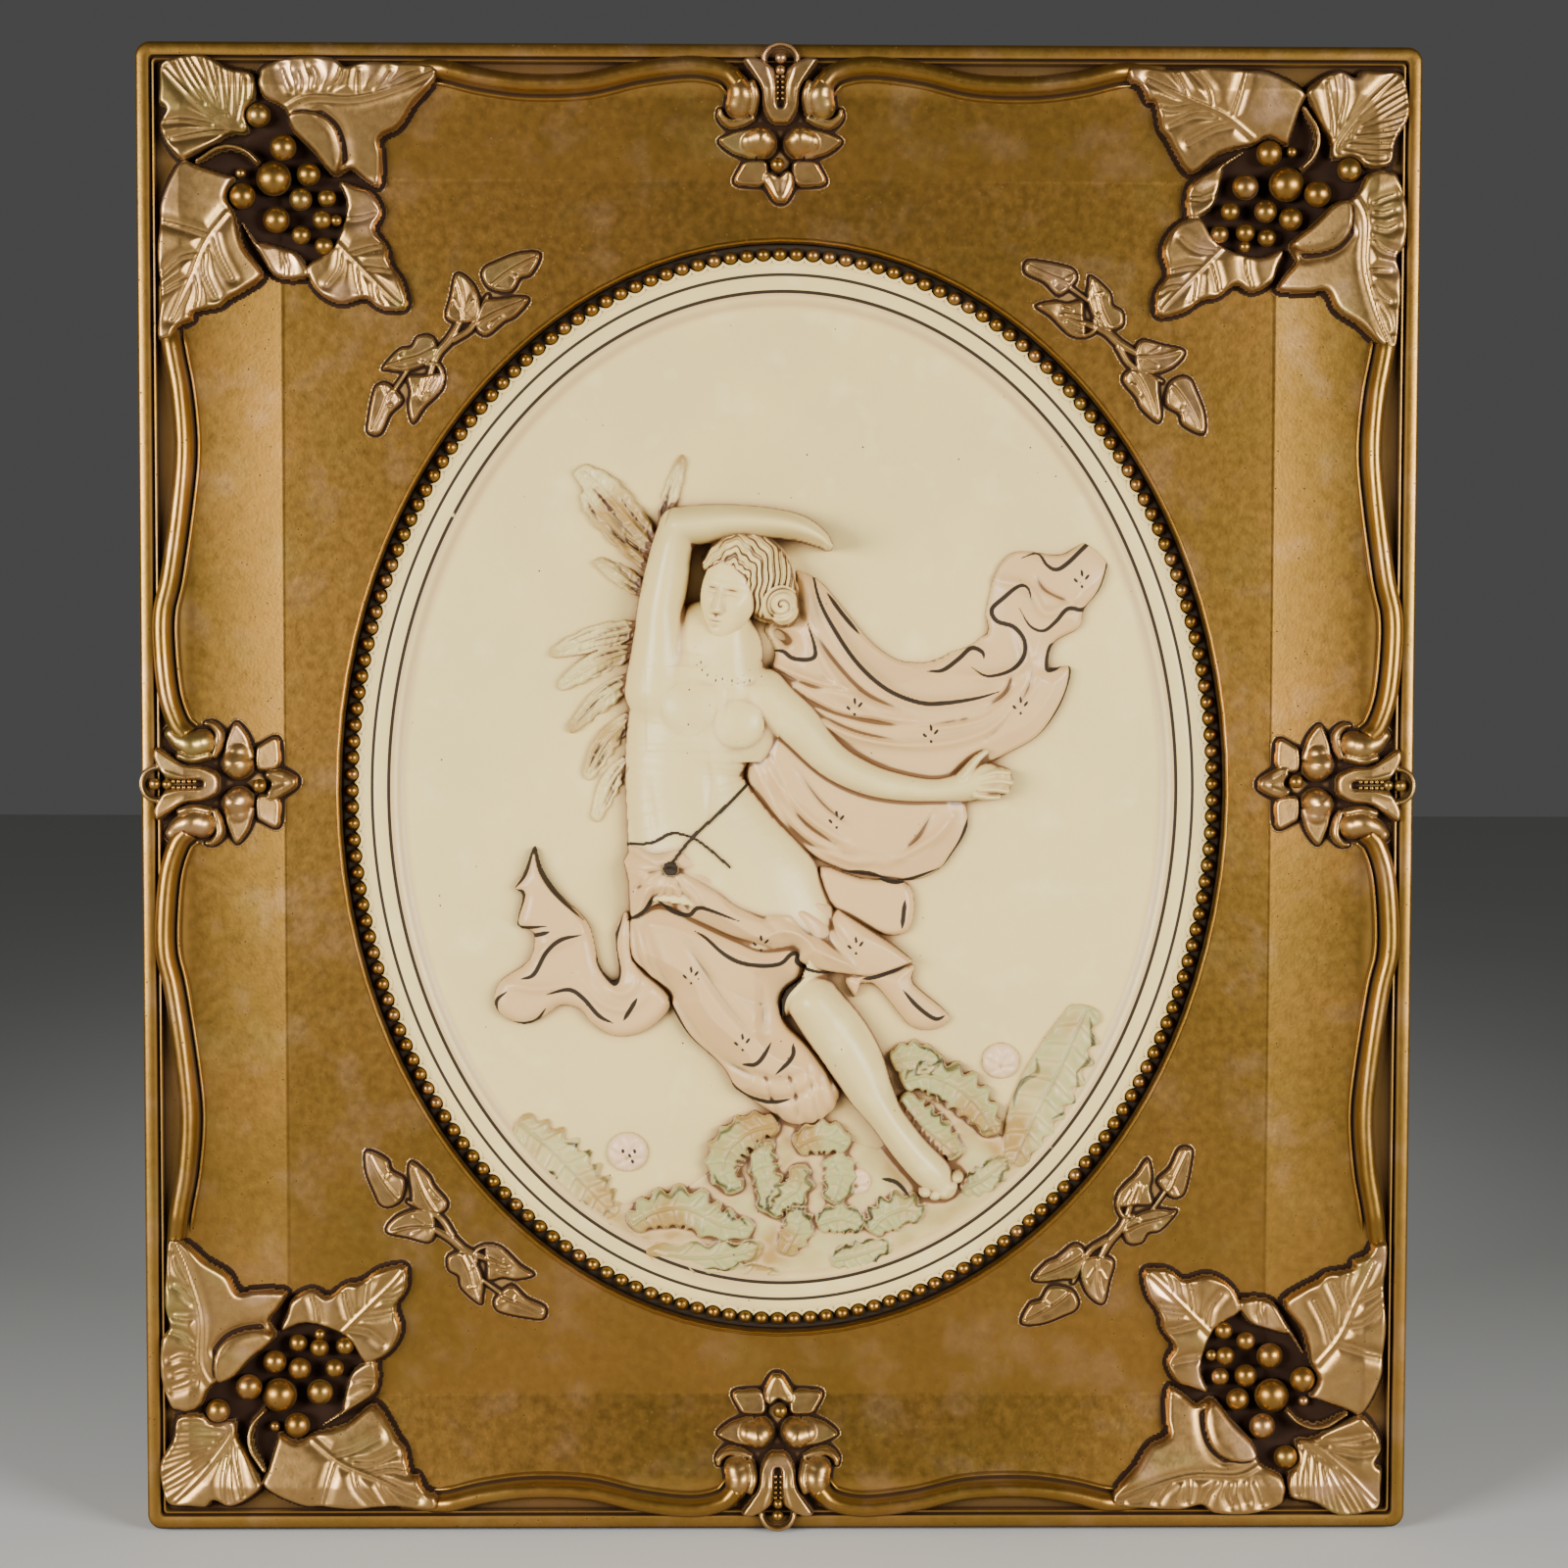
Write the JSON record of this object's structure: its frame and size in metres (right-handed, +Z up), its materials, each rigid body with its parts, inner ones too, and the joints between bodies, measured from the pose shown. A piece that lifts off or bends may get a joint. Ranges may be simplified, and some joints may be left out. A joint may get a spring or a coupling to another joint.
{
  "type": "relief plaque",
  "caption": "Rectangular wall plaque: a gilt frame with leaf corners around an oval relief of a veiled dancing figure, ringed with beads.",
  "frame": {"origin": "middle of the flat back, where the plaque lies against the wall", "axes": "+Z up, -Y out of the front, +Y into the wall, +X to the right as seen from the front"},
  "size_m": [0.428, 0.0399, 0.5],
  "materials": {
    "old_gold": "satin old-gold glaze with brown staining in the hollows",
    "ivory_ceramic": "satin ivory glaze with brown staining, soft tints and thin dark painted lines"
  },
  "bodies": {
    "root": {"frame": "old_gold", "relief_medallion": "ivory_ceramic"}
  },
  "joints": []
}
